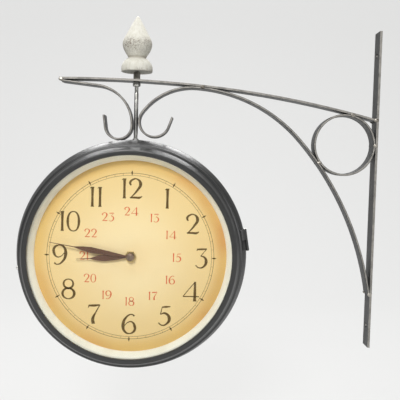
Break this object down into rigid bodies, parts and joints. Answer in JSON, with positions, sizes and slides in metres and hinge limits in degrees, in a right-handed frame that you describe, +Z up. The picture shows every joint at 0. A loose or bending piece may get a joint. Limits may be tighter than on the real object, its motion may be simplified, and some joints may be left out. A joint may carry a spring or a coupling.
{
  "type": "double sided wall clock",
  "caption": "Double sided station wall clock hung from an arched scroll bracket, with hinged round doors, numbered dials and leaf shaped hands.",
  "frame": {"origin": "on the back face of the wall plate, midway between its two screw holes", "axes": "+Z up, +X into the wall, the bracket reaches out along -X, the front dial faces -Y and the rear dial +Y"},
  "size_m": [0.3793, 0.085, 0.3704],
  "materials": {
    "bracket_paint": "satin black paint",
    "weld_bead": "ground weld",
    "zinc": "zinc plated",
    "whitewashed_wood": "whitewashed, worn",
    "case_paint": "satin black paint",
    "clear_glass": "clear",
    "cream_plastic": "cream, satin",
    "dial_paper": null,
    "black_plastic": "moulded",
    "white_plastic": "acetal gears",
    "brass": "turned",
    "hand_paint": "dark brown",
    "battery_foil": "plain printed foil",
    "board": "lacquered",
    "copper": "enamelled copper wire"
  },
  "bodies": {
    "bracket": {"wall_plate": "bracket_paint", "arm_strip": "bracket_paint", "brace_and_right_scroll": "bracket_paint", "left_scroll": "bracket_paint", "ring_strip": "bracket_paint", "bracket_welds": "weld_bead", "hanging_rod": "zinc", "arm_upper_nut": "zinc", "arm_lower_nut": "zinc", "case_nuts": "zinc", "case_washers": "zinc", "finial": "whitewashed_wood"},
    "clock_case": {"case_band": "case_paint", "front_hinge_case_leaf": "case_paint", "front_hinge_pin": "zinc", "rear_hinge_case_leaf": "case_paint", "rear_hinge_pin": "zinc"},
    "front_door": {"front_bezel": "case_paint", "front_glass": "clear_glass", "front_dial_surround": "cream_plastic", "front_dial": "dial_paper", "front_movement_case": "black_plastic", "front_movement_cover": "black_plastic", "front_battery": "battery_foil", "front_battery_contacts": "zinc", "front_circuit_board": "board", "front_coil": "copper", "front_shaft_nut": "brass", "front_hinge_door_leaf": "case_paint"},
    "front_minute": {"front_minute_arbor": "brass", "front_minute_hand": "hand_paint", "front_hand_cap": "hand_paint"},
    "front_intermediate": {"front_intermediate_wheel": "white_plastic", "front_set_knob": "black_plastic"},
    "front_hour": {"front_hour_wheel": "white_plastic", "front_hour_hand": "hand_paint"},
    "front_closing_screw": {"front_latch_screw": "zinc"},
    "rear_door": {"rear_bezel": "case_paint", "rear_glass": "clear_glass", "rear_dial_surround": "cream_plastic", "rear_dial": "dial_paper", "rear_movement_case": "black_plastic", "rear_movement_cover": "black_plastic", "rear_battery": "battery_foil", "rear_battery_contacts": "zinc", "rear_circuit_board": "board", "rear_coil": "copper", "rear_shaft_nut": "brass", "rear_hinge_door_leaf": "case_paint"},
    "rear_minute": {"rear_minute_arbor": "brass", "rear_minute_hand": "hand_paint", "rear_hand_cap": "hand_paint"},
    "rear_intermediate": {"rear_intermediate_wheel": "white_plastic", "rear_set_knob": "black_plastic"},
    "rear_hour": {"rear_hour_wheel": "white_plastic", "rear_hour_hand": "hand_paint"},
    "rear_closing_screw": {"rear_latch_screw": "zinc"}
  },
  "joints": [
    {"name": "case_swivel", "type": "hinge", "parent": "bracket", "child": "clock_case", "pos_m": [-0.257, 0, 0.0475], "axis": [0, 0, 1], "range_deg": [-12, 12]},
    {"name": "front_door_hinge", "type": "hinge", "parent": "clock_case", "child": "front_door", "pos_m": [-0.13825, -0.0255, -0.05163], "axis": [-0.165, 0, 0.9863], "range_deg": [0, 110]},
    {"name": "front_minute_turn", "type": "hinge", "parent": "front_door", "child": "front_minute", "pos_m": [-0.257, -0.03, -0.0715], "axis": [0, 1, 0], "continuous": true},
    {"name": "front_intermediate_turn", "type": "hinge", "parent": "front_door", "child": "front_intermediate", "pos_m": [-0.245, -0.02, -0.0715], "axis": [0, 1, 0], "continuous": true},
    {"name": "front_hour_turn", "type": "hinge", "parent": "front_door", "child": "front_hour", "pos_m": [-0.257, -0.03, -0.0715], "axis": [0, 1, 0], "continuous": true},
    {"name": "front_closing_screw_turn", "type": "hinge", "parent": "clock_case", "child": "front_closing_screw", "pos_m": [-0.37114, -0.0285, -0.08551], "axis": [-0.9925, 0, -0.1219], "range_deg": [0, 360]},
    {"name": "rear_door_hinge", "type": "hinge", "parent": "clock_case", "child": "rear_door", "pos_m": [-0.37575, 0.0255, -0.05163], "axis": [0.165, 0, 0.9863], "range_deg": [0, 110]},
    {"name": "rear_minute_turn", "type": "hinge", "parent": "rear_door", "child": "rear_minute", "pos_m": [-0.257, 0.03, -0.0715], "axis": [0, -1, 0], "continuous": true},
    {"name": "rear_intermediate_turn", "type": "hinge", "parent": "rear_door", "child": "rear_intermediate", "pos_m": [-0.269, 0.02, -0.0715], "axis": [0, -1, 0], "continuous": true},
    {"name": "rear_hour_turn", "type": "hinge", "parent": "rear_door", "child": "rear_hour", "pos_m": [-0.257, 0.03, -0.0715], "axis": [0, -1, 0], "continuous": true},
    {"name": "rear_closing_screw_turn", "type": "hinge", "parent": "clock_case", "child": "rear_closing_screw", "pos_m": [-0.14286, 0.0285, -0.08551], "axis": [0.9925, 0, -0.1219], "range_deg": [0, 360]}
  ],
  "couplings": [
    {"joint": "front_intermediate_turn", "follows": "front_minute_turn", "ratio": -0.33333},
    {"joint": "front_hour_turn", "follows": "front_minute_turn", "ratio": 0.083333},
    {"joint": "rear_intermediate_turn", "follows": "rear_minute_turn", "ratio": -0.33333},
    {"joint": "rear_hour_turn", "follows": "rear_minute_turn", "ratio": 0.083333}
  ]
}
